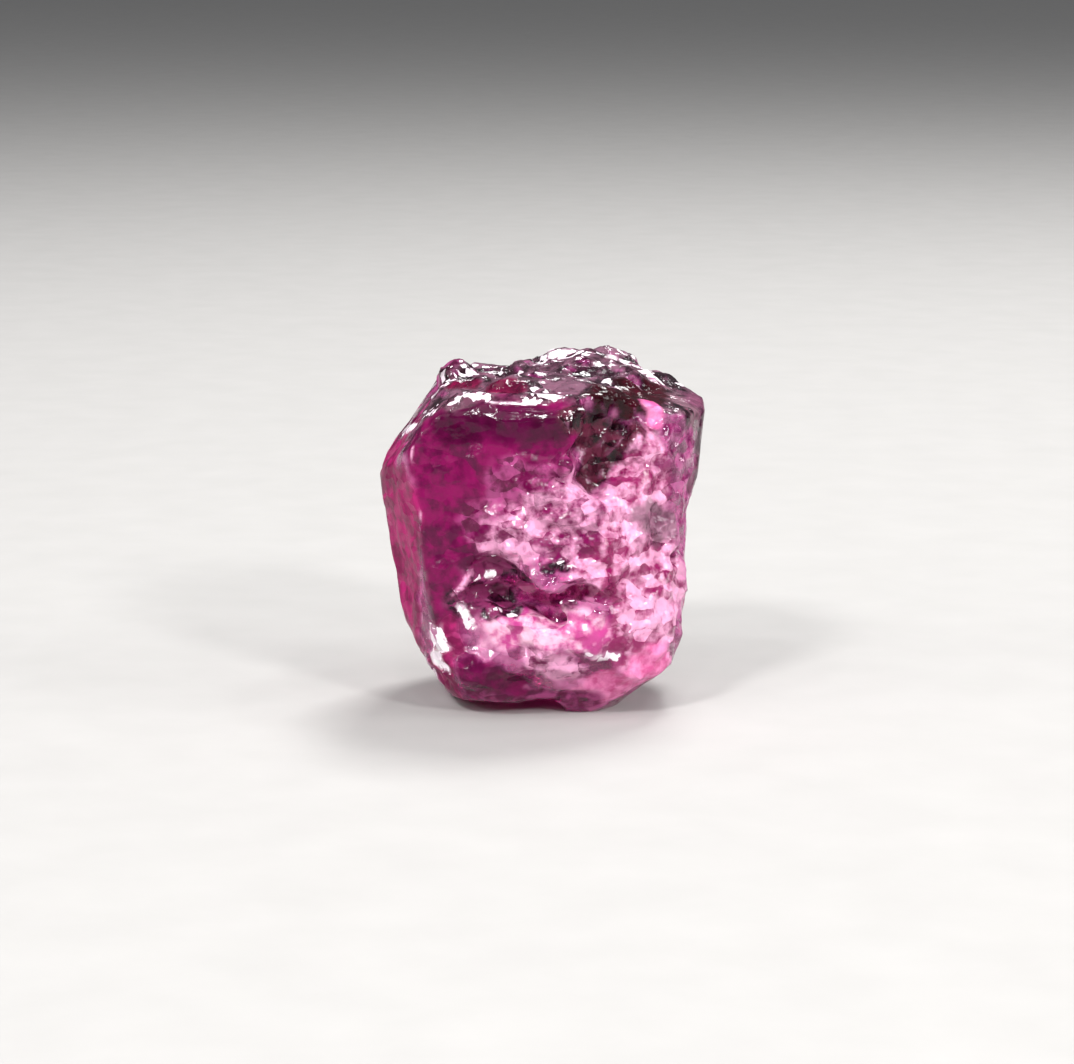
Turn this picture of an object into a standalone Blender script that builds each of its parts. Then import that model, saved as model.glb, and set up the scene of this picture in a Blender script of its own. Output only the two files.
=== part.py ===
"""Rough spinel crystal, a broken and fractured stone about 8 mm tall.

Metres, +Z up. The origin is the middle of the stone's footprint, on the surface it rests on.
The front of the stone faces -Y. The stone is made as it was broken: flat breaks are cleaved
from a block, shell-shaped breaks and cracks are cut out of it, and each area then gets the
relief that its break left. The foot is ground flat, so that the stone stands.
"""
import math

import bmesh
import bpy
from mathutils import Matrix, Vector, noise

MM = 0.001

# Driving dimensions of the stone and its net of faces, in millimetres
WIDTH = 7.0
DEPTH = 6.0
HEIGHT = 7.6
GRID = 0.11
MERGE = 0.01
MAX_TRIANGLES = 9400
# The block that the stone is broken from, compared with the stone
SPARE_BLOCK = 1.1

STONE_NAME = "spinel_crystal"
STONE_COLOUR = (0.62, 0.10, 0.34, 1.0)
STONE_IOR = 1.718
STONE_ROUGHNESS = 0.12

# Flat breaks: name, a point on the plane in mm, heading in degrees (0 faces the front,
# 90 the right side, 180 the back) and tilt in degrees (90 faces straight up)
BREAKS = (
    ("front left", (-0.90, -2.62, 4.0), -17, 2),
    ("front right upper", (2.20, -1.95, 4.6), 42, 3),
    ("front right lower", (2.15, -2.15, 2.0), 36, -2),
    ("front middle", (0.80, -2.95, 3.0), 6, 0),
    ("left cheek", (-3.22, -0.90, 4.2), -64, -7),
    ("left side", (-3.40, 0.20, 4.45), -94, -9),
    ("left shoulder", (-2.50, 0.20, 6.34), -86, 38),
    ("left brow", (-2.65, -1.88, 6.41), -36, 52),
    ("left heel", (-2.70, -0.60, 1.30), -80, -29),
    ("left toe", (-2.40, -1.30, 0.66), -50, -34),
    ("top front", (-0.60, -2.35, 6.80), -2, 79),
    ("top right", (1.80, 1.00, 7.02), 72, 69),
    ("top back", (0.30, 1.50, 7.42), 176, 58),
    ("top left", (-1.20, 1.00, 6.88), -100, 80),
    ("right rim", (3.36, -0.20, 6.58), 80, 46),
    ("right side", (3.40, -0.30, 6.00), 90, -7),
    ("right cheek", (2.94, -0.95, 2.00), 66, -1),
    ("right heel", (2.84, -0.60, 1.25), 84, -24),
    ("right sole", (2.42, -0.80, 0.66), 74, -50),
    ("right toe", (1.74, -1.75, 0.47), 42, -52),
    ("front foot", (1.00, -2.45, 1.00), 4, -40),
    ("back left", (-2.10, 2.05, 4.0), -140, 6),
    ("back", (0.20, 2.95, 3.6), 178, -4),
    ("back right", (2.35, 1.95, 4.4), 136, 4),
    ("back low", (0.10, 2.45, 1.00), 184, -34),
    ("back right heel", (2.35, 1.30, 0.90), 124, -36),
    ("back left heel", (-2.20, 1.40, 0.95), -126, -34),
)

# Shell-shaped breaks and cracks: name, middle in mm, radii in mm, turn about X, Y and Z in
# degrees, and how jagged the break is, in mm
SCARS = (
    ("dark hollow", (1.36, -2.75, 5.93), (0.84, 1.15, 1.33), (0, 20, 0), 0.16),
    ("hollow roof", (2.35, -2.35, 6.30), (0.95, 0.85, 0.52), (0, 18, 30), 0.12),
    ("crevice", (-0.25, -2.85, 2.78), (1.55, 0.90, 0.40), (0, 4, 0), 0.26),
    ("crevice branch", (0.10, -3.05, 2.40), (1.15, 0.85, 0.24), (0, -4, 0), 0.20),
    ("crevice pocket", (-1.05, -2.70, 3.22), (0.60, 0.65, 0.52), (0, -35, 0), 0.14),
    ("waist", (3.66, -0.80, 3.72), (0.78, 1.90, 1.15), (0, 8, 20), 0.06),
    ("waist crack", (2.90, -1.30, 3.33), (0.56, 1.60, 0.17), (12, -18, 20), 0.06),
    ("lobe groove", (2.35, -2.55, 3.35), (1.00, 0.50, 0.16), (0, 22, 30), 0.10),
    ("top valley", (-0.55, -0.70, 7.62), (1.90, 0.55, 0.78), (0, 3, 10), 0.18),
    ("top left step", (-1.75, -1.55, 7.10), (0.85, 0.50, 0.42), (0, -14, -12), 0.12),
    ("top pocket", (1.35, -0.25, 7.66), (0.70, 0.46, 0.62), (0, 14, -10), 0.14),
    ("top left bowl", (-1.35, 0.95, 7.50), (0.80, 0.60, 0.68), (0, 0, 20), 0.10),
    ("top right trough", (2.45, -0.75, 7.05), (0.95, 0.42, 0.46), (0, 20, 14), 0.12),
    ("back shell", (-0.90, 4.05, 4.60), (2.20, 1.60, 2.30), (0, 20, 10), 0.10),
    ("back scoop", (1.90, 3.25, 2.20), (1.30, 1.10, 1.25), (0, 0, -30), 0.10),
    ("left scallop", (-4.05, -0.90, 2.90), (0.80, 1.20, 1.30), (0, -10, -20), 0.05),
)

# Waves of a cutter's skin: how many to a millimetre, their depth, roughness, gain and octaves
SKIN_WAVES = 1.6
SKIN_DEPTH = 2.0
SKIN_NOISE = (0.8, 2.0, 3)

# Left underside of the stone: it sits higher than the foot and slopes back down to it
UNDERCUT_MIDDLE = (-2.05, -2.15, 0.39)
UNDERCUT_SIZE = (4.9, 4.6, 1.0)
UNDERCUT_TILT = -11

# Relief left by the breaks: name, middle in mm, reach in mm, height in mm, wavelength in mm
# along X, Y and Z, and how stepped it is, from 0 (waves) to 1 (ledges)
RELIEFS = (
    ("top ridges", (0.2, -0.4, 7.1), (3.6, 3.2, 0.75), 0.34, (2.0, 0.85, 1.2), 0.3),
    ("broken middle", (0.1, -2.9, 3.5), (1.5, 1.6, 2.1), 0.30, (1.30, 1.00, 0.85), 0.35),
    ("right side grain", (2.5, -1.9, 4.6), (1.3, 1.9, 1.4), 0.17, (0.80, 0.80, 0.80), 0.2),
    ("right lobe grain", (2.1, -2.1, 2.5), (1.4, 1.9, 1.3), 0.19, (0.95, 0.95, 0.75), 0.2),
    ("left cheek streaks", (-3.2, -0.9, 3.0), (0.9, 1.4, 2.4), 0.10, (0.60, 0.70, 2.20), 0.3),
    ("left toe", (-2.2, -1.6, 0.7), (0.9, 1.2, 0.7), 0.12, (0.80, 0.80, 0.60), 0.2),
    ("back waves", (0.0, 2.6, 3.8), (3.6, 2.4, 3.8), 0.24, (1.90, 1.60, 1.00), 0.4),
)
# A relief is full to its reach, less a little, and gone at this many reaches, by this slope
AREA_END = 1.15
AREA_SLOPE = 2.5
# The ridges' roughness, lacunarity, octaves, offset and gain, then their share and their middle
RIDGE_NOISE = (0.9, 2.1, 3, 1.0, 1.6)
RIDGE_SHARE = 0.5
RIDGE_MIDDLE = 0.6

# Round swellings: name, middle in mm, reach in mm and height in mm
LUMPS = (
    ("top left knob", (-1.90, 0.50, 6.80), 0.48, 0.40),
    ("apex", (0.60, 1.10, 7.25), 0.80, 0.20),
    ("lower right lobe", (2.00, -2.05, 2.10), 1.30, 0.16),
    ("brow of the hollow", (0.62, -2.85, 5.40), 0.60, 0.10),
    ("left belly", (-2.90, -1.20, 4.90), 1.20, 0.05),
)
# Low waves over the whole stone, and the ledges: how many to a unit of relief, how steep a riser
WHOLE_RELIEF = 0.035
WHOLE_WAVELENGTH = 1.1
WHOLE_NOISE = (0.9, 2.0, 4)
LEDGES = 5.0
RISER_SLOPE = 3.0


def direction(heading, tilt):
    """The outward normal of a face, from its heading and tilt in degrees."""
    turn, lift = math.radians(heading), math.radians(tilt)
    return Vector((math.sin(turn) * math.cos(lift), -math.cos(turn) * math.cos(lift), math.sin(lift)))


def turned(degrees):
    """The rotation of a shape turned about X, then Y, then Z."""
    x, y, z = (math.radians(angle) for angle in degrees)
    return Matrix.Rotation(z, 4, "Z") @ Matrix.Rotation(y, 4, "Y") @ Matrix.Rotation(x, 4, "X")


def cleave(bm, point, normal):
    """Break the solid along a plane, and close the new face."""
    geometry = bm.verts[:] + bm.edges[:] + bm.faces[:]
    cut = bmesh.ops.bisect_plane(
        bm, geom=geometry, dist=1e-8, plane_co=point, plane_no=normal, clear_outer=True
    )
    rim = [item for item in cut["geom_cut"] if isinstance(item, bmesh.types.BMEdge)]
    if rim:
        bmesh.ops.holes_fill(bm, edges=rim, sides=0)


def new_collection(name):
    collection = bpy.data.collections.new(name)
    bpy.context.scene.collection.children.link(collection)
    return collection


def make_object(name, bm, collection):
    """Turn an edited mesh into an object of its own."""
    mesh = bpy.data.meshes.new(name)
    bm.to_mesh(mesh)
    bm.free()
    thing = bpy.data.objects.new(name, mesh)
    collection.objects.link(thing)
    return thing


def make_cutter(name, bm, collection):
    cutter = make_object(name, bm, collection)
    cutter.hide_render = True
    cutter.display_type = "WIRE"
    return cutter


def broken_block(collection):
    """The stone as a block with all its flat breaks."""
    bm = bmesh.new()
    bmesh.ops.create_cube(bm, size=1.0)
    bmesh.ops.scale(bm, vec=Vector((WIDTH, DEPTH, HEIGHT)) * SPARE_BLOCK * MM, verts=bm.verts)
    bmesh.ops.translate(bm, vec=Vector((0, 0, HEIGHT * 0.5 * MM)), verts=bm.verts)
    for _, point, heading, tilt in BREAKS:
        cleave(bm, Vector(point) * MM, direction(heading, tilt))
    bmesh.ops.recalc_face_normals(bm, faces=bm.faces)
    return make_object(STONE_NAME, bm, collection)


def scar_cutter(name, middle, radii, turn, jagged, collection):
    """A rounded cutter with an uneven skin, which leaves a shell-shaped break."""
    bm = bmesh.new()
    bmesh.ops.create_icosphere(bm, subdivisions=4, radius=1.0)
    place = Matrix.Translation(Vector(middle) * MM) @ turned(turn)
    for vert in bm.verts:
        shape = Vector((vert.co.x * radii[0], vert.co.y * radii[1], vert.co.z * radii[2]))
        bump = noise.fractal(shape * SKIN_WAVES + Vector(middle), *SKIN_NOISE)
        vert.co = place @ ((shape + vert.co * bump * jagged * SKIN_DEPTH) * MM)
    return make_cutter(name, bm, collection)


def undercut_cutter(collection):
    """A tilted box that cuts off the left part of the underside."""
    bm = bmesh.new()
    bmesh.ops.create_cube(bm, size=1.0)
    bmesh.ops.scale(bm, vec=Vector(UNDERCUT_SIZE) * MM, verts=bm.verts)
    bmesh.ops.translate(bm, vec=Vector((0, 0, -0.5 * UNDERCUT_SIZE[2] * MM)), verts=bm.verts)
    place = Matrix.Translation(Vector(UNDERCUT_MIDDLE) * MM) @ turned((UNDERCUT_TILT, 0, 0))
    bmesh.ops.transform(bm, matrix=place, verts=bm.verts)
    return make_cutter("left undercut", bm, collection)


def cut_away(stone, cutters):
    """Take every cutter out of the stone."""
    for cutter in cutters:
        cut = stone.modifiers.new("cut " + cutter.name, "BOOLEAN")
        cut.operation = "DIFFERENCE"
        cut.object = cutter


def even_grid(stone):
    """Give the cut stone an even net of faces, fine enough to take the relief."""
    grid = stone.modifiers.new("even grid", "REMESH")
    grid.mode = "VOXEL"
    grid.voxel_size = GRID * MM


def bake(thing):
    """Replace an object's mesh by what its modifiers make of it."""
    bpy.context.view_layer.update()
    evaluated = thing.evaluated_get(bpy.context.evaluated_depsgraph_get())
    mesh = bpy.data.meshes.new_from_object(evaluated)
    thing.modifiers.clear()
    thing.data = mesh


def stepped(value, share):
    """Turn part of a smooth slope into flat ledges with short risers between them."""
    ledge = math.floor(value * LEDGES)
    rise = value * LEDGES - ledge
    riser = max(0.0, min(1.0, (rise - 0.5) * RISER_SLOPE + 0.5))
    return value * (1.0 - share) + (ledge + riser) / LEDGES * share


def relief_height(point):
    """How far the surface stands out at a point in mm, from the reliefs and lumps there."""
    height = WHOLE_RELIEF * noise.fractal(point / WHOLE_WAVELENGTH, *WHOLE_NOISE)
    for _, middle, reach, amount, wavelength, steps in RELIEFS:
        away = Vector([(point[i] - middle[i]) / reach[i] for i in range(3)]).length
        weight = max(0.0, min(1.0, (AREA_END - away) * AREA_SLOPE))
        if weight <= 0.0:
            continue
        pattern_at = Vector([point[i] / wavelength[i] + middle[i] for i in range(3)])
        waves = noise.ridged_multi_fractal(pattern_at, *RIDGE_NOISE) * RIDGE_SHARE - RIDGE_MIDDLE
        height += amount * weight * stepped(waves, steps)
    for _, middle, reach, amount in LUMPS:
        away = (point - Vector(middle)).length / reach
        if away < 1.0:
            height += amount * (1.0 - away * away) ** 2
    return height


def carve_relief(stone):
    """Move each point of the surface in or out by the relief there."""
    bm = bmesh.new()
    bm.from_mesh(stone.data)
    bmesh.ops.remove_doubles(bm, verts=bm.verts, dist=MERGE * MM)
    bm.normal_update()
    moves = [vert.normal * relief_height(vert.co / MM) * MM for vert in bm.verts]
    for vert, move in zip(bm.verts, moves):
        vert.co += move
    bmesh.ops.triangulate(bm, faces=bm.faces)
    bm.to_mesh(stone.data)
    bm.free()


def limit_triangles(stone):
    """Thin the net where the stone is flat, until it is light enough."""
    triangles = sum(len(face.vertices) - 2 for face in stone.data.polygons)
    if triangles > MAX_TRIANGLES:
        thin = stone.modifiers.new("fewer faces", "DECIMATE")
        thin.ratio = MAX_TRIANGLES / triangles
        bake(stone)


def level_foot(stone):
    """Cut the foot flat where the stone rests, and close it."""
    bm = bmesh.new()
    bm.from_mesh(stone.data)
    cleave(bm, Vector((0, 0, 0)), Vector((0, 0, -1)))
    bmesh.ops.dissolve_degenerate(bm, dist=MERGE * MM, edges=bm.edges)
    bmesh.ops.triangulate(bm, faces=bm.faces)
    bmesh.ops.recalc_face_normals(bm, faces=bm.faces)
    bm.to_mesh(stone.data)
    bm.free()


def centre_on_footprint(stone):
    """Put the origin under the middle of the stone's outline, seen from above."""
    corners = [Vector(corner) for corner in stone.bound_box]
    low = Vector([min(corner[i] for corner in corners) for i in range(3)])
    high = Vector([max(corner[i] for corner in corners) for i in range(3)])
    middle = (low + high) * 0.5
    stone.data.transform(Matrix.Translation((-middle.x, -middle.y, -low.z)))


def stone_material():
    """Clear pink spinel with a slightly frosted surface."""
    material = bpy.data.materials.new("clear pink spinel")
    material.use_nodes = True
    shader = material.node_tree.nodes["Principled BSDF"]
    shader.inputs["Base Color"].default_value = STONE_COLOUR
    shader.inputs["Roughness"].default_value = STONE_ROUGHNESS
    shader.inputs["Metallic"].default_value = 0.0
    shader.inputs["IOR"].default_value = STONE_IOR
    shader.inputs["Transmission Weight"].default_value = 1.0
    return material


def main():
    for thing in list(bpy.data.objects):
        bpy.data.objects.remove(thing)
    stone_collection = new_collection(STONE_NAME)
    cutter_collection = new_collection("cutters")
    stone = broken_block(stone_collection)
    cutters = [scar_cutter(*scar, cutter_collection) for scar in SCARS]
    cutters.append(undercut_cutter(cutter_collection))
    cut_away(stone, cutters)
    even_grid(stone)
    bake(stone)
    carve_relief(stone)
    limit_triangles(stone)
    level_foot(stone)
    bpy.context.view_layer.update()
    centre_on_footprint(stone)
    stone.data.materials.append(stone_material())


main()
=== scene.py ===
# %% [markdown]
# # A rough spinel crystal
#
# The real object is one broken stone of clear magenta-pink spinel, under 8 mm tall. It was never
# cut or polished. Some of its breaks are smooth as glass, others are ridged or grainy, and cracks
# run inside it. The lesson makes the stone's fine surface, its cracks and its glassy finish, round
# a plain solid that already has the stone's size and its main breaks.

# %% Load the frame
import math

import bpy
import numpy as np
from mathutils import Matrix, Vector, noise


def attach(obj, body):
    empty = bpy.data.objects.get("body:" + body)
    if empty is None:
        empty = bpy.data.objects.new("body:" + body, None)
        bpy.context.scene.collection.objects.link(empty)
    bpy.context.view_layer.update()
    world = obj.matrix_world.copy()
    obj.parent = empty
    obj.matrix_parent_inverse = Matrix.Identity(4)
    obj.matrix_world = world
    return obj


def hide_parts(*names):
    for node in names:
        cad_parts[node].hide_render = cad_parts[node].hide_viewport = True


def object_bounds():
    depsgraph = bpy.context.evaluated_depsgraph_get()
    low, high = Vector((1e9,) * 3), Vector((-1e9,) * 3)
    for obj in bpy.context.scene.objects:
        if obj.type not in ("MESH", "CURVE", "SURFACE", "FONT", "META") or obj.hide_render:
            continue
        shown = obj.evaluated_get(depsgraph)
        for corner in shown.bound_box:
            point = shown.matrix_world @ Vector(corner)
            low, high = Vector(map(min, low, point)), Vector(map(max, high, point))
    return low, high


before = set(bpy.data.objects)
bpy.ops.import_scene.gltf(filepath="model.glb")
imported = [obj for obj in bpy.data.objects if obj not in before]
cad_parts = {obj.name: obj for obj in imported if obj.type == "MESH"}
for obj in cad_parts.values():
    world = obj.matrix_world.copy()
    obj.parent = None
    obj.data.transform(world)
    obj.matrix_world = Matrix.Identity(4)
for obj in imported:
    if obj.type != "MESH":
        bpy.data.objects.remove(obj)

MM = 0.001
BODY = "root"
STONE_NODE = "spinel_crystal"
cad_low, cad_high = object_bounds()
stone_size = [(high - low) / MM for low, high in zip(cad_low, cad_high)]
print("the stone measures", [round(side, 2) for side in stone_size], "mm")

# %% [markdown]
# ## Helpers
#
# Colours are written as sRGB hex values, the way a colour picker shows them, and Blender's shaders
# want linear values, so one function turns one into the other. Another adds a shader node with its
# settings and its links in one call.

# %% Colour and node helpers
def linear(hex_colour):
    channels = [int(hex_colour[i:i + 2], 16) / 255 for i in (1, 3, 5)]
    return [c / 12.92 if c <= 0.04045 else ((c + 0.055) / 1.055) ** 2.4 for c in channels] + [1.0]


def add_node(tree, kind, settings=None, links=None):
    """Adds a node. Settings name its properties or sockets, links name its sockets and their sources."""
    node = tree.nodes.new(kind)
    for name, value in (settings or {}).items():
        if isinstance(name, str) and hasattr(node, name):
            setattr(node, name, value)
        else:
            node.inputs[name].default_value = value
    for socket, source in (links or {}).items():
        tree.links.new(source, node.inputs[socket])
    return node


def new_material(name):
    material = bpy.data.materials.new(name)
    material.use_nodes = True
    material.node_tree.nodes.clear()
    return material, material.node_tree


# %% [markdown]
# ## Camera
#
# The stone is seen from the front and a little above, from far away for its size, so that its
# edges hardly converge. The lens is long, and the distance follows from the width of the picture.

# %% Camera
PICTURE = (1074, 1064)
PIXELS_PER_MM = 46.5
STONE_MIDDLE_PX = (542.4, 525.0)
ELEVATION = math.radians(11)
LENS_MM = 120
SENSOR_MM = 36

picture_width = PICTURE[0] / PIXELS_PER_MM * MM
distance = LENS_MM / SENSOR_MM * picture_width
aim = Vector((
    (PICTURE[0] / 2 - STONE_MIDDLE_PX[0]) / PIXELS_PER_MM * MM,
    0,
    (stone_size[2] / 2 - (PICTURE[1] / 2 - STONE_MIDDLE_PX[1]) / PIXELS_PER_MM) * MM,
))
bpy.ops.object.camera_add(
    location=aim + Vector((0, -math.cos(ELEVATION), math.sin(ELEVATION))) * distance,
    rotation=(math.pi / 2 - ELEVATION, 0, 0),
)
camera = bpy.context.object
camera.data.lens = LENS_MM
camera.data.sensor_width = SENSOR_MM
camera.data.clip_start = 1 * MM
camera.data.clip_end = 10
bpy.context.scene.camera = camera
print("camera", round(distance / MM), "mm from the stone")

# %% [markdown]
# ## Floor and light
#
# A clear stone shows what is round it. A pale floor and a big soft light above and behind make it
# glow, a smaller light in front gives the sharp white glints on its breaks, and a grey room
# between them keeps some of its faces dark. More glints, highlights and shade are painted onto the
# stone further down.

# %% Floor
FLOOR_SIDE = 1.6

bpy.ops.mesh.primitive_plane_add(size=FLOOR_SIDE, location=(0, 0, 0))
floor = bpy.context.object
floor.name = "floor"
paint, tree = new_material("pale matt paper")
grain = add_node(tree, "ShaderNodeTexNoise", {"Scale": 900.0, "Detail": 3.0})
tone = add_node(
    tree, "ShaderNodeMix",
    {"data_type": "RGBA", 6: linear("#a4a2a0"), 7: linear("#acaaa8")}, {0: grain.outputs["Fac"]},
)
shader = add_node(
    tree, "ShaderNodeBsdfPrincipled", {"Roughness": 0.9, "Specular IOR Level": 0.2}, {"Base Color": tone.outputs[2]}
)
add_node(tree, "ShaderNodeOutputMaterial", {}, {"Surface": shader.outputs["BSDF"]})
floor.data.materials.append(paint)
print("floor", FLOOR_SIDE, "m across")


# %% Room light
world = bpy.data.worlds.new("grey room")
bpy.context.scene.world = world
bpy.context.scene.view_settings.view_transform = "Standard"
world.use_nodes = True
room = world.node_tree
backdrop = room.nodes["Background"]
backdrop.inputs["Strength"].default_value = 1.0
sky = add_node(room, "ShaderNodeTexCoord")
height = add_node(room, "ShaderNodeSeparateXYZ", {}, {0: sky.outputs["Generated"]})
shade = add_node(
    room, "ShaderNodeMapRange", {"From Min": 0.02, "From Max": 0.85}, {"Value": height.outputs["Z"]}
)
wall = add_node(
    room, "ShaderNodeMix",
    {"data_type": "RGBA", 6: linear("#2c2d2f"), 7: linear("#9c9ea1")}, {0: shade.outputs["Result"]},
)
room.links.new(wall.outputs[2], backdrop.inputs["Color"])


# %% Lamps
def soft_light(name, heading, height, away_mm, side_mm, watts, colour="#ffffff"):
    """A square area light, aimed at the stone. Heading 0 is the front, 90 the right side."""
    turn, lift = math.radians(heading), math.radians(height)
    towards = Vector((math.sin(turn) * math.cos(lift), -math.cos(turn) * math.cos(lift), math.sin(lift)))
    bpy.ops.object.light_add(type="AREA", location=aim + towards * away_mm * MM)
    lamp = bpy.context.object
    lamp.name = name
    lamp.rotation_euler = towards.to_track_quat("Z", "Y").to_euler()
    lamp.data.size = side_mm * MM
    lamp.data.energy = watts
    lamp.data.color = linear(colour)[:3]
    return lamp


soft_light("key light", 158, 60, 140, 45, 0.20)
soft_light("fill light", -60, 30, 170, 110, 0.06)
soft_light("side light", 75, 25, 160, 60, 0.10)
soft_light("front light, left", -30, 42, 190, 26, 0.22)
soft_light("front light, right", 35, 28, 190, 26, 0.20)
for height, headings in ((25, (-70, -35, 0, 35)), (58, (-50, -5, 45, 100))):
    for heading in headings:
        soft_light(f"glint {heading} {height}", heading, height, 150, 9, 0.016)

# %% [markdown]
# ## The stone's surface
#
# The solid has the flat breaks, the hollow and the crevice, but its faces are coarse. A copy of it
# is remeshed into an even, fine net, a little softened, and then pushed in and out by textures.
# Each texture acts in one area, set by a vertex group, because each break left its own relief:
# ridges on top, chips in the middle, grains on the right, and almost nothing on the left face.
# The copy is worked on at a thousand times its size, since remeshing has a smallest cell.

# %% Copy of the solid
ENLARGE = 1000.0
NET_MM = 0.066


def only(thing):
    """Select one object and make it active."""
    bpy.ops.object.select_all(action="DESELECT")
    thing.select_set(True)
    bpy.context.view_layer.objects.active = thing


def triangles(thing):
    return sum(len(face.vertices) - 2 for face in thing.data.polygons)


def apply_modifier(thing, name, kind, settings):
    only(thing)
    modifier = thing.modifiers.new(name, kind)
    for key, value in settings.items():
        setattr(modifier, key, value)
    bpy.ops.object.modifier_apply(modifier=modifier.name)


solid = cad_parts[STONE_NODE]
stone = bpy.data.objects.new("rough_spinel", solid.data.copy())
bpy.context.scene.collection.objects.link(stone)
stone.data.materials.clear()
only(stone)
bpy.ops.object.mode_set(mode="EDIT")
bpy.ops.mesh.select_all(action="SELECT")
bpy.ops.mesh.remove_doubles(threshold=0.000001)
bpy.ops.object.mode_set(mode="OBJECT")
stone.scale = [ENLARGE] * 3
bpy.ops.object.transform_apply(location=False, rotation=False, scale=True)
apply_modifier(stone, "even net", "REMESH", {"mode": "VOXEL", "voxel_size": NET_MM})
apply_modifier(stone, "soften", "SMOOTH", {"factor": 0.5, "iterations": 2})
print("the net has", triangles(stone), "triangles")


# %% Areas of the surface
LEVELS = 10


def mark_area(thing, name, middle, reach, edge=2.2):
    """A vertex group that is full inside an ellipsoid, in mm, and fades out past it."""
    group = thing.vertex_groups.new(name=name)
    batches = [[] for _ in range(LEVELS + 1)]
    for vert in thing.data.vertices:
        away = Vector([(vert.co[i] - middle[i]) / reach[i] for i in range(3)]).length
        batches[round(LEVELS * max(0.0, min(1.0, (1.15 - away) * edge)))].append(vert.index)
    for level, batch in enumerate(batches):
        if batch and level:
            group.add(batch, level / LEVELS, "REPLACE")
    return name


AREAS = {
    "top": ((0.2, 0.9, 7.2), (4.2, 2.9, 0.75)),
    "middle": ((0.1, -2.9, 3.3), (1.45, 1.5, 2.3)),
    "right": ((2.4, -1.9, 3.6), (1.6, 2.0, 2.9)),
    "left": ((-3.2, -1.0, 3.0), (1.0, 1.6, 2.6)),
    "shoulder": ((-2.7, -0.9, 6.5), (0.9, 1.6, 0.9)),
    "hollow": ((1.4, -2.2, 5.7), (0.7, 1.2, 0.9)),
    "low": ((-0.4, -0.9, 0.95), (3.0, 2.6, 0.8)),
    "back": ((0.0, 2.6, 3.8), (3.8, 2.4, 3.9)),
}
for area, (middle, reach) in AREAS.items():
    mark_area(stone, area, middle, reach)
stone.vertex_groups.new(name="whole").add(range(len(stone.data.vertices)), 1.0, "REPLACE")


# %% Relief of each area
def relief(thing, area, kind, size, height, stretch=(1, 1, 1), middle=0.5, settings=None):
    """Push an area in and out by a texture. Size and height are in mm."""
    texture = bpy.data.textures.new(area + " relief", kind)
    for key, value in {"noise_scale": size, **(settings or {})}.items():
        setattr(texture, key, value)
    bpy.ops.object.empty_add(location=(0, 0, 0))
    ruler = bpy.context.object
    ruler.scale = stretch
    bpy.context.view_layer.update()
    apply_modifier(thing, area + " relief", "DISPLACE", {
        "texture": texture, "texture_coords": "OBJECT", "texture_coords_object": ruler,
        "vertex_group": area, "strength": height, "mid_level": middle, "direction": "NORMAL",
    })
    bpy.data.objects.remove(ruler)
    bpy.data.textures.remove(texture)


relief(stone, "whole", "CLOUDS", 0.9, 0.02)
relief(stone, "top", "MUSGRAVE", 0.8, 0.16, (2.2, 1, 1), 0.5, {"musgrave_type": "RIDGED_MULTIFRACTAL", "octaves": 3})
relief(stone, "top", "VORONOI", 0.35, 0.10, (1.6, 1, 1), 0.4)
relief(stone, "middle", "VORONOI", 0.55, 0.22, (1.5, 1, 0.8), 0.4)
relief(stone, "middle", "VORONOI", 0.3, 0.07, (1, 1, 1), 0.4)
relief(stone, "right", "VORONOI", 0.42, 0.14, (1, 1, 1), 0.4)
relief(stone, "right", "VORONOI", 0.2, 0.05, (1, 1, 1), 0.4)
relief(stone, "left", "CLOUDS", 0.4, 0.06, (1, 1, 3.5))
relief(stone, "hollow", "VORONOI", 0.35, 0.16, (0.8, 1, 2.2), 0.4)
relief(stone, "shoulder", "VORONOI", 0.55, 0.16, (1, 1, 1.4), 0.4)
relief(stone, "low", "VORONOI", 0.6, 0.16, (1.4, 1, 1), 0.4)
relief(stone, "low", "VORONOI", 0.3, 0.06, (1, 1, 1), 0.4)
relief(stone, "back", "VORONOI", 0.8, 0.2, (1.6, 1.2, 0.8), 0.4)
relief(stone, "back", "VORONOI", 0.4, 0.08, (1, 1, 1), 0.4)

CHIP_SHARE = 0.42
apply_modifier(stone, "flat chips", "DECIMATE", {"ratio": CHIP_SHARE})

# %% [markdown]
# The copy goes back to its real size, and everything that the relief pushed below the table is
# set on the table again, so that the stone still stands on its flat foot.

# %% Back to real size
stone.scale = [1 / ENLARGE] * 3
only(stone)
bpy.ops.object.transform_apply(location=False, rotation=False, scale=True)
for vert in stone.data.vertices:
    vert.co.x = max(cad_low[0], min(cad_high[0], vert.co.x))
    vert.co.y = max(cad_low[1], min(cad_high[1], vert.co.y))
    vert.co.z = max(cad_low[2], vert.co.z)
stone.vertex_groups.clear()

LONGEST_MM = 0.12
for _ in range(3):
    for edge in stone.data.edges:
        first, second = (stone.data.vertices[i].co for i in edge.vertices)
        edge.select = (first - second).length > LONGEST_MM * MM
    bpy.ops.object.mode_set(mode="EDIT")
    bpy.ops.mesh.select_mode(type="EDGE")
    bpy.ops.mesh.subdivide(number_cuts=1)
    bpy.ops.mesh.select_all(action="SELECT")
    bpy.ops.mesh.quads_convert_to_tris()
    bpy.ops.mesh.select_all(action="DESELECT")
    bpy.ops.object.mode_set(mode="OBJECT")
WELD_MM = 0.002
bpy.ops.object.mode_set(mode="EDIT")
bpy.ops.mesh.select_all(action="SELECT")
bpy.ops.mesh.remove_doubles(threshold=WELD_MM * MM)
bpy.ops.mesh.dissolve_degenerate(threshold=WELD_MM * MM)
bpy.ops.mesh.quads_convert_to_tris()
bpy.ops.object.mode_set(mode="OBJECT")
bpy.ops.object.shade_smooth_by_angle(angle=math.radians(13))
print("the stone has", triangles(stone), "triangles")
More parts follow.
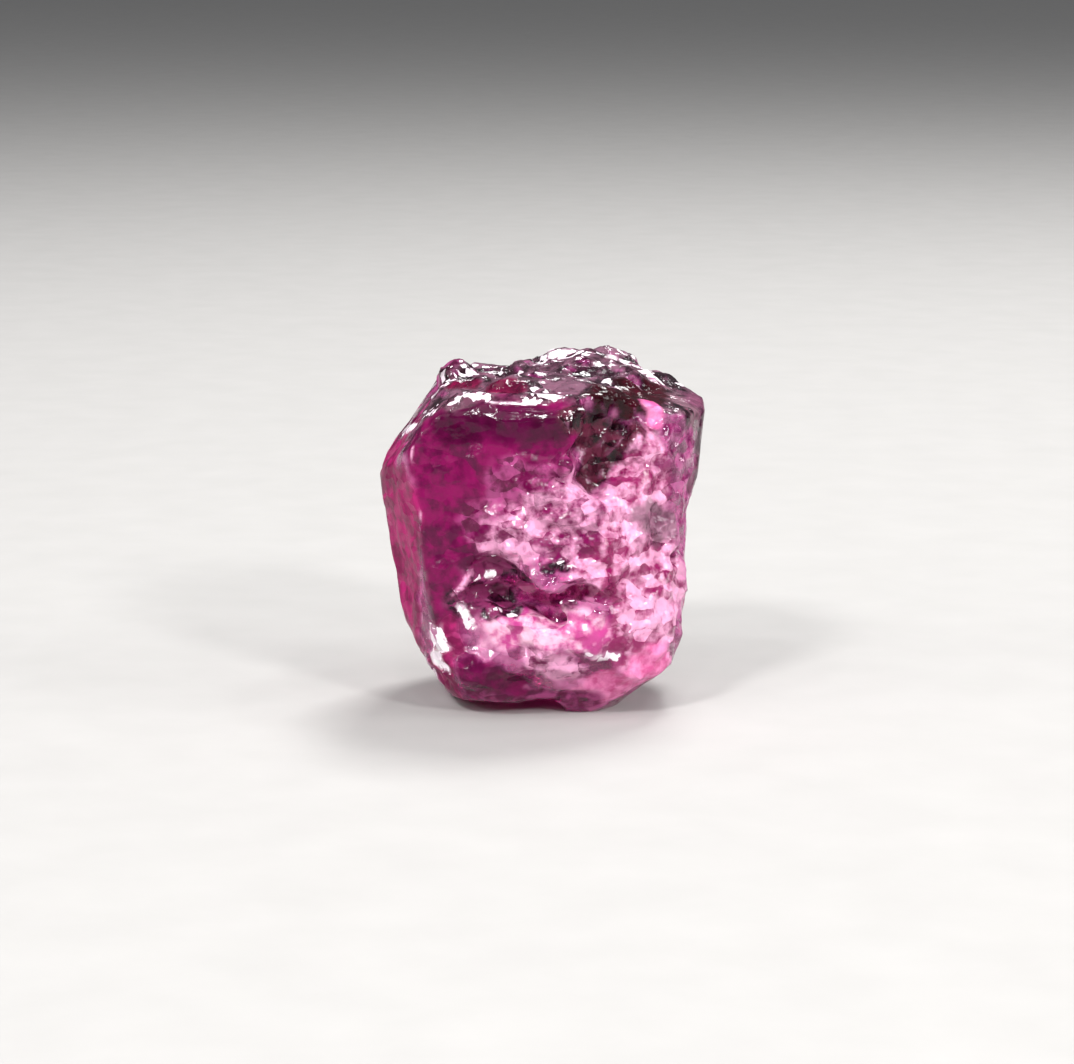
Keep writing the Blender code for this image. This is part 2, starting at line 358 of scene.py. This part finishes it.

# %% [markdown]
# ## Where each finish lies
#
# Each part of the real stone broke in its own way, so its finish changes from place to place, with
# bright chips in the middle. The paint also holds light and shade: painted shade makes the left face
# deep, dark and near-opaque and the hollow almost black, a painted reflection greys the top, and
# painted highlights and glints whiten ridges and specks. Textures could be masked in the shader, but
# each mask would be worked out again for every ray. So the finishes are brushed onto the mesh once,
# as vertex paint, by strokes with a ragged edge. A stroke's places are pixels of the photograph, and
# the camera's ray through each pixel finds its point on the stone.

# %% Finishes
# Deep tint, pale tint, frost (roughness), veil (the share of light that fine cracks scatter),
# chips (how far the pattern is broken cells, and not soft clouds) and glint specks (the share of
# painted white specks that stand for glints of light).
FINISHES = {
    "clear pink": ("#a02c7a", "#f48cca", 0.06, 0.35, 0.7, 0.0),
    # Painted reflection: the top's dark grey-mauve stands for the dark room that its upturned faces reflect, with a
    # few painted glint specks.
    "top, painted reflection": ("#200a16", "#80586c", 0.14, 0.72, 0.8, 0.03),
    "mauve top, painted reflection": ("#1c0814", "#86606f", 0.14, 0.70, 0.8, 0.04),
    # Painted shade: dark, near-opaque magenta for the shaded left face.
    "deeply shaded magenta": ("#3c0426", "#500834", 0.12, 0.95, 0.3, 0.0),
    "shaded magenta": ("#520636", "#7a0e4c", 0.2, 0.96, 0.4, 0.0),
    "cloudy rose": ("#740844", "#a82066", 0.35, 0.97, 0.5, 0.0),
    "smooth rose": ("#e0589a", "#fc98cc", 0.12, 0.80, 0.4, 0.0),
    "bright chips": ("#7c1054", "#fcb2da", 0.07, 0.72, 0.8, 0.0),
    "rose chips": ("#640840", "#ac4882", 0.08, 0.82, 0.8, 0.0),
    "pink grains": ("#961c60", "#fcb4da", 0.08, 0.72, 0.8, 0.0),
    "pale band": ("#d04c98", "#ffcae2", 0.08, 0.80, 0.6, 0.0),
    "grey mauve": ("#401830", "#7c4460", 0.2, 0.75, 0.6, 0.0),
    "pale mauve": ("#70405a", "#a87890", 0.15, 0.75, 0.5, 0.0),
    "crimson": ("#3c0420", "#700838", 0.08, 0.85, 0.4, 0.0),
    "maroon": ("#200308", "#3c0818", 0.12, 0.95, 0.2, 0.0),
    # Painted shade in the crevice and the hollow. The crevice's shade has a few painted glint specks.
    "purple shade": ("#1c0416", "#7c2e58", 0.12, 0.86, 0.9, 0.03),
    "brown shade": ("#100308", "#5c2438", 0.10, 0.85, 0.9, 0.0),
    # Painted glints: white specks on a dark painted reflection or on pink, and an almost white painted highlight.
    "dark with painted glints": ("#240c18", "#74485c", 0.14, 0.85, 0.9, 0.38),
    "pink with painted glints": ("#84185c", "#ffc8ec", 0.10, 0.80, 0.9, 0.2),
    # Painted highlight: an almost white finish that stands for the shine of light on ridges and small facets.
    "painted highlight": ("#b8789c", "#ffffff", 0.20, 0.90, 0.9, 0.6),
}

# Each stroke: its finish, the pixels that it passes, its reach and its fading edge in mm.
STROKES = {
    # Painted shade: these strokes paint the left face dark.
    "left face, top": ("shaded magenta", [(445, 450), (545, 435)], 0.75, 0.45),
    "left face, foot": ("shaded magenta", [(440, 520), (470, 530)], 0.8, 0.6),
    "left face, right": ("shaded magenta", [(490, 460), (550, 455)], 0.4, 0.3),
    "left face, brow": ("deeply shaded magenta", [(450, 424), (500, 420), (548, 426)], 0.25, 0.35),
    "left cheek": ("cloudy rose", [(380, 440), (382, 500), (394, 580), (412, 660)], 0.8, 0.6),
    "left cheek, front": ("cloudy rose", [(396, 430), (398, 500), (404, 580), (418, 650)], 0.7, 0.4),
    "left shoulder": ("rose chips", [(398, 410), (420, 390), (440, 372)], 0.3, 0.35),
    # Painted glints and highlights on the shoulder, the knob, the ledge, the apex and the rim.
    "left shoulder glints": ("dark with painted glints", [(432, 410), (452, 405), (484, 394)], 0.14, 0.1),
    "knob": ("dark with painted glints", [(443, 372), (447, 380)], 0.16, 0.1),
    "back glints": ("dark with painted glints", [(462, 373), (500, 371)], 0.08, 0.1),
    "ledge glints": ("dark with painted glints", [(532, 400), (556, 396)], 0.16, 0.1),
    # Painted highlight along the ledge.
    "ledge": ("painted highlight", [(485, 401), (530, 405)], 0.015, 0.04),
    "apex": ("dark with painted glints", [(550, 358), (588, 352)], 0.2, 0.2),
    # Painted reflection on the right part of the top.
    "top, right": ("mauve top, painted reflection", [(640, 372), (665, 392), (690, 410)], 0.4, 0.3),
    "right rim": ("dark with painted glints", [(608, 356), (640, 368), (658, 382)], 0.12, 0.12),
    # Painted highlights along the ridges of the right rim and the apex.
    "right rim, ridge highlight": ("painted highlight", [(612, 358), (640, 367), (652, 379)], 0.05, 0.06),
    "apex ridge highlight": ("painted highlight", [(550, 357), (572, 350)], 0.08, 0.06),
    "crimson window, left": ("crimson", [(456, 384), (474, 384)], 0.16, 0.08),
    "crimson window, right": ("crimson", [(492, 386), (518, 388)], 0.18, 0.08),
    # Painted shade on the low left.
    "low left": ("shaded magenta", [(436, 575), (442, 610)], 0.3, 0.4),
    "low left, foot": ("cloudy rose", [(446, 640), (450, 684)], 0.35, 0.3),
    "middle, upper left": ("rose chips", [(508, 484), (550, 484), (482, 524)], 0.36, 0.25),
    "middle": ("bright chips", [(580, 500), (580, 545), (545, 520), (510, 540)], 0.45, 0.3),
    "upper right": ("pink grains", [(630, 455), (650, 495), (625, 510)], 0.5, 0.3),
    "right edge": ("grey mauve", [(697, 400), (695, 480)], 0.35, 0.3),
    "mauve facet": ("pale mauve", [(648, 518), (666, 528)], 0.3, 0.15),
    "right lobe": ("pink grains", [(620, 570), (670, 585), (640, 630)], 0.65, 0.35),
    "low band": ("pale band", [(500, 627), (590, 632)], 0.34, 0.25),
    "low facet": ("smooth rose", [(600, 688), (655, 668)], 0.45, 0.3),
    # Painted glint specks on the pink lower left corner.
    "left corner": ("pink with painted glints", [(427, 666), (434, 688)], 0.28, 0.15),
    "low rim": ("rose chips", [(480, 690), (590, 700)], 0.2, 0.25),
    "low shade": ("shaded magenta", [(474, 673), (512, 682)], 0.3, 0.2),
    "low middle": ("bright chips", [(536, 662), (570, 672)], 0.25, 0.2),
    "maroon window": ("maroon", [(600, 398), (604, 388), (626, 403), (632, 387), (644, 402), (654, 390)], 0.26, 0.12),
    "hollow, left": ("brown shade", [(568, 420), (580, 444)], 0.12, 0.2),
    "hollow, top": ("brown shade", [(574, 416), (600, 425), (630, 434)], 0.22, 0.2),
    "hollow, middle": ("brown shade", [(590, 430), (612, 446), (590, 468), (586, 482)], 0.26, 0.16),
    "hollow patch": ("smooth rose", [(651, 404), (655, 421)], 0.15, 0.12),
    "hollow streak, left": ("pale mauve", [(562, 396), (568, 424), (578, 452), (588, 482)], 0.01, 0.05),
    "hollow streak, middle": ("grey mauve", [(600, 404), (612, 422), (600, 446)], 0.02, 0.05),
    "hollow streak, right": ("grey mauve", [(628, 430), (610, 452), (598, 476)], 0.01, 0.05),
    "crevice, upper": ("purple shade", [(474, 574), (505, 566), (520, 574)], 0.2, 0.12),
    "crevice, foot": ("purple shade", [(458, 602), (480, 604), (510, 612)], 0.24, 0.12),
    "crevice, middle": ("purple shade", [(464, 594), (488, 591), (508, 598)], 0.18, 0.12),
    "crevice, right": ("purple shade", [(532, 607), (572, 604)], 0.14, 0.1),
    "crevice, far": ("purple shade", [(546, 568), (562, 567)], 0.1, 0.1),
    # Painted highlight along the diagonal ridge.
    "diagonal ridge highlight": ("bright chips", [(638, 442), (606, 490)], 0.06, 0.1),
    # Painted highlights: a spot on the shoulder, two blobs, a low ridge and sparks. The cream spots take the same
    # white finish.
    "shoulder highlight": ("painted highlight", [(405, 430), (413, 427)], 0.08, 0.06),
    "left tick": ("bright chips", [(413, 449), (412, 463)], 0.01, 0.04),
    "lower ticks": ("bright chips", [(420, 512), (419, 528)], 0.01, 0.04),
    "highlight blob, top": ("painted highlight", [(436, 634), (440, 644)], 0.24, 0.1),
    "highlight blob, foot": ("painted highlight", [(434, 658), (444, 664)], 0.12, 0.08),
    "low ridge highlight": ("painted highlight", [(588, 655), (616, 655)], 0.06, 0.08),
    "cream spots": ("painted highlight", [(461, 607), (472, 627)], 0.07, 0.06),
    # Painted highlight along the ridge by the crevice.
    "crevice ridge highlight": ("bright chips", [(453, 594), (468, 576), (486, 553)], 0.03, 0.04),
    "sparks": ("painted highlight", [(486, 575), (492, 573)], 0.04, 0.04),
}
print(len(FINISHES), "finishes,", len(STROKES), "strokes")


# %% Points on the stone
def on_stone(px, py):
    """The point of the stone, in mm, that the camera sees at a pixel of the photograph."""
    across = (px - PICTURE[0] / 2) / PICTURE[0] * SENSOR_MM / LENS_MM
    up = (PICTURE[1] / 2 - py) / PICTURE[0] * SENSOR_MM / LENS_MM
    ray = camera.rotation_euler.to_matrix() @ Vector((across, up, -1))
    hit, point, _, _ = stone.ray_cast(camera.location, ray.normalized())
    if not hit:
        _, point, _, _ = stone.closest_point_on_mesh(camera.location + ray * distance)
    return np.array(point) / MM


def vertex_values(thing, name, width):
    values = np.empty(len(thing.data.vertices) * width)
    thing.data.vertices.foreach_get(name, values)
    return values.reshape(-1, width)


bpy.context.view_layer.update()
surface = vertex_values(stone, "co", 3) / MM
facing = vertex_values(stone, "normal", 3)
RAGS_MM = 0.35
RAGGED_MOST_MM = 0.28
RAGGED_LEAST_MM = 0.05
RAGGED_BY_REACH = 0.6
RAGS_SEED = 4

# Without a seed, this noise starts from the clock, and the edges would differ in each run.
noise.seed_set(RAGS_SEED)
rags = np.array([noise.noise_vector(Vector(point) / RAGS_MM) for point in surface])


# %% Brush the finishes on
def colour_of(name):
    deep, pale, *numbers = FINISHES[name]
    return np.array(linear(deep)[:3] + linear(pale)[:3] + numbers)


def fade(away, reach, edge):
    share = np.clip(1 - (away - reach) / edge, 0, 1)
    return (share * share * (3 - 2 * share))[:, None]


def away_from(path, reach):
    """How far each point of the surface is from a path, in mm. A wide stroke is more ragged."""
    brushed = surface + rags * min(RAGGED_MOST_MM, RAGGED_LEAST_MM + RAGGED_BY_REACH * reach)
    nearest = np.full(len(brushed), np.inf)
    for start, end in zip(path, path[1:]):
        along = end - start
        share = np.clip((brushed - start) @ along / max(along @ along, 1e-9), 0, 1)
        nearest = np.minimum(nearest, np.linalg.norm(brushed - start - share[:, None] * along, axis=1))
    return nearest


brushwork = np.tile(colour_of("clear pink"), (len(surface), 1))
# Painted reflection: upturned faces high on the stone take the top's finish, a dark grey-mauve for the room that they
# reflect, with a few painted glints.
TOP_FACING = (0.25, 0.6)
TOP_HEIGHT_MM = 5.6
reflecting_top = np.clip((facing[:, 2] - TOP_FACING[0]) / (TOP_FACING[1] - TOP_FACING[0]), 0, 1)
reflecting_top = (reflecting_top * (surface[:, 2] + rags[:, 2] * RAGGED_MOST_MM > TOP_HEIGHT_MM))[:, None]
brushwork = brushwork * (1 - reflecting_top) + colour_of("top, painted reflection") * reflecting_top
for finish, pixels, reach, edge in STROKES.values():
    stroke = fade(away_from([on_stone(*pixel) for pixel in pixels], reach), reach, edge)
    brushwork = brushwork * (1 - stroke) + colour_of(finish) * stroke

for name, first in (("deep tint", 0), ("pale tint", 3), ("frost, veil and chips", 6)):
    layer = stone.data.attributes.new(name, "FLOAT_VECTOR", "POINT")
    layer.data.foreach_set("vector", brushwork[:, first:first + 3].ravel())
# The share of painted glint specks at each point.
stone.data.attributes.new("glint_specks", "FLOAT", "POINT").data.foreach_set("value", brushwork[:, 9].copy())
print("painted", len(surface), "points")

# %% [markdown]
# ## Clear pink spinel
#
# Spinel bends light more than glass does, with an index of 1.718. Its colour is in its depth:
# it takes out green and some blue on the light's way through, so the absorption does most of the
# work. The paint gives each place two tints, and a pattern of small broken cells, each one the size
# of a chip, picks between them, so that neighbouring chips differ as they do in a cracked stone.

# %% Spinel
SPINEL_IOR = 1.718
ABSORPTION_COLOUR = linear("#f82bd4")
ABSORPTION_PER_M = 400.0
CHIP_MM = 0.32
CHIP_LEAN = math.radians(-25)
MOTTLE_MM = 0.22
CHIP_WEIGHT = 0.36
CLOUD_MM = 0.9
CHIP_SLOPE = 0.8
# Size and colour of the painted white specks that stand for glints.
GLINT_SPECK_MM = 0.14
GLINT_SPECK_TINT = linear("#fff0fa")

clear_spinel, tree = new_material("clear pink spinel")
place = add_node(tree, "ShaderNodeTexCoord").outputs["Object"]
warp = add_node(tree, "ShaderNodeTexNoise", {"Scale": 1 / (0.3 * MM), "Detail": 3.0}, {"Vector": place})
shift = add_node(
    tree, "ShaderNodeVectorMath", {"operation": "MULTIPLY_ADD", 1: [0.16 * MM] * 3}, {0: warp.outputs["Color"], 2: place}
)
grained = add_node(
    tree, "ShaderNodeMapping", {"Rotation": (0, CHIP_LEAN, 0), "Scale": (0.75, 1, 1.35)},
    {"Vector": shift.outputs["Vector"]},
).outputs["Vector"]
chips = add_node(tree, "ShaderNodeTexVoronoi", {"Scale": 1 / (CHIP_MM * MM)}, {"Vector": grained})
mottle = add_node(tree, "ShaderNodeTexNoise", {"Scale": 1 / (MOTTLE_MM * MM), "Detail": 4.0}, {"Vector": place})
clouds = add_node(tree, "ShaderNodeTexNoise", {"Scale": 1 / (CLOUD_MM * MM), "Detail": 6.0}, {"Vector": place})
chip_tone = add_node(tree, "ShaderNodeSeparateColor", {}, {0: chips.outputs["Color"]}).outputs[0]
tones = add_node(tree, "ShaderNodeMath", {"operation": "ADD"}, {0: mottle.outputs["Fac"], 1: clouds.outputs["Fac"]})
soft = add_node(tree, "ShaderNodeMapRange", {"From Min": 0.82, "From Max": 1.18}, {"Value": tones.outputs["Value"]})
tones = add_node(
    tree, "ShaderNodeMath", {"operation": "MULTIPLY_ADD", 1: CHIP_WEIGHT}, {0: chip_tone, 2: tones.outputs["Value"]}
)
broken = add_node(
    tree, "ShaderNodeMapRange", {"From Min": 1.02, "From Max": 1.32}, {"Value": tones.outputs["Value"]}
)

# Painted glints: white specks, as many as each point's share asks for, stand for glints of light and raise the veil
# there.
glint_specks = add_node(tree, "ShaderNodeTexVoronoi", {"Scale": 1 / (GLINT_SPECK_MM * MM)}, {"Vector": shift.outputs["Vector"]})
picked = add_node(tree, "ShaderNodeSeparateColor", {}, {0: glint_specks.outputs["Color"]}).outputs[0]
glint_share = add_node(tree, "ShaderNodeAttribute", {"attribute_name": "glint_specks"})
glint_speck = add_node(
    tree, "ShaderNodeMath", {"operation": "LESS_THAN"}, {0: picked, 1: glint_share.outputs["Fac"]}
).outputs["Value"]

deep = add_node(tree, "ShaderNodeAttribute", {"attribute_name": "deep tint"})
pale = add_node(tree, "ShaderNodeAttribute", {"attribute_name": "pale tint"})
finish = add_node(tree, "ShaderNodeAttribute", {"attribute_name": "frost, veil and chips"})
finish = add_node(tree, "ShaderNodeSeparateXYZ", {}, {0: finish.outputs["Vector"]})
pattern = add_node(
    tree, "ShaderNodeMix", {}, {0: finish.outputs[2], 2: soft.outputs["Result"], 3: broken.outputs["Result"]}
).outputs[0]
tint = add_node(
    tree, "ShaderNodeMix", {"data_type": "RGBA"}, {0: pattern, 6: deep.outputs["Vector"], 7: pale.outputs["Vector"]}
).outputs[2]
# The painted glint specks turn the tint white.
tint = add_node(tree, "ShaderNodeMix", {"data_type": "RGBA", 7: GLINT_SPECK_TINT}, {0: glint_speck, 6: tint}).outputs[2]
pattern = add_node(tree, "ShaderNodeMath", {"operation": "MAXIMUM"}, {0: pattern, 1: glint_speck}).outputs["Value"]
veil_share = add_node(tree, "ShaderNodeMapRange", {"To Min": 0.85, "To Max": 1.0}, {"Value": pattern})
veil = add_node(
    tree, "ShaderNodeMath", {"operation": "MULTIPLY"}, {0: finish.outputs[1], 1: veil_share.outputs["Result"]}
)
clear = add_node(tree, "ShaderNodeMath", {"operation": "SUBTRACT", 0: 1.0}, {1: veil.outputs["Value"]})

lean = add_node(tree, "ShaderNodeVectorMath", {"operation": "SUBTRACT", 1: [0.5] * 3}, {0: chips.outputs["Color"]})
reach = add_node(
    tree, "ShaderNodeVectorMath", {"operation": "SUBTRACT"}, {0: grained, 1: chips.outputs["Position"]}
)
tilt = add_node(
    tree, "ShaderNodeVectorMath", {"operation": "DOT_PRODUCT"}, {0: lean.outputs["Vector"], 1: reach.outputs["Vector"]}
)
facets = add_node(
    tree, "ShaderNodeBump", {"Distance": CHIP_SLOPE}, {"Strength": finish.outputs[2], "Height": tilt.outputs["Value"]}
)
grain = add_node(tree, "ShaderNodeTexNoise", {"Scale": 1 / (0.12 * MM), "Detail": 4.0}, {"Vector": place})
bump = add_node(
    tree, "ShaderNodeBump", {"Strength": 0.25, "Distance": 0.02 * MM},
    {"Height": grain.outputs["Fac"], "Normal": facets.outputs["Normal"]},
)
shader = add_node(
    tree, "ShaderNodeBsdfPrincipled", {"IOR": SPINEL_IOR, "Metallic": 0.0, "Specular IOR Level": 0.07},
    {"Base Color": tint, "Roughness": finish.outputs[0], "Transmission Weight": clear.outputs["Value"],
     "Normal": bump.outputs["Normal"]},
)
depth = add_node(tree, "ShaderNodeVolumeAbsorption", {"Color": ABSORPTION_COLOUR, "Density": ABSORPTION_PER_M})
add_node(
    tree, "ShaderNodeOutputMaterial", {}, {"Surface": shader.outputs["BSDF"], "Volume": depth.outputs["Volume"]}
)
stone.data.materials.append(clear_spinel)

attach(stone, BODY)
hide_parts(STONE_NODE)
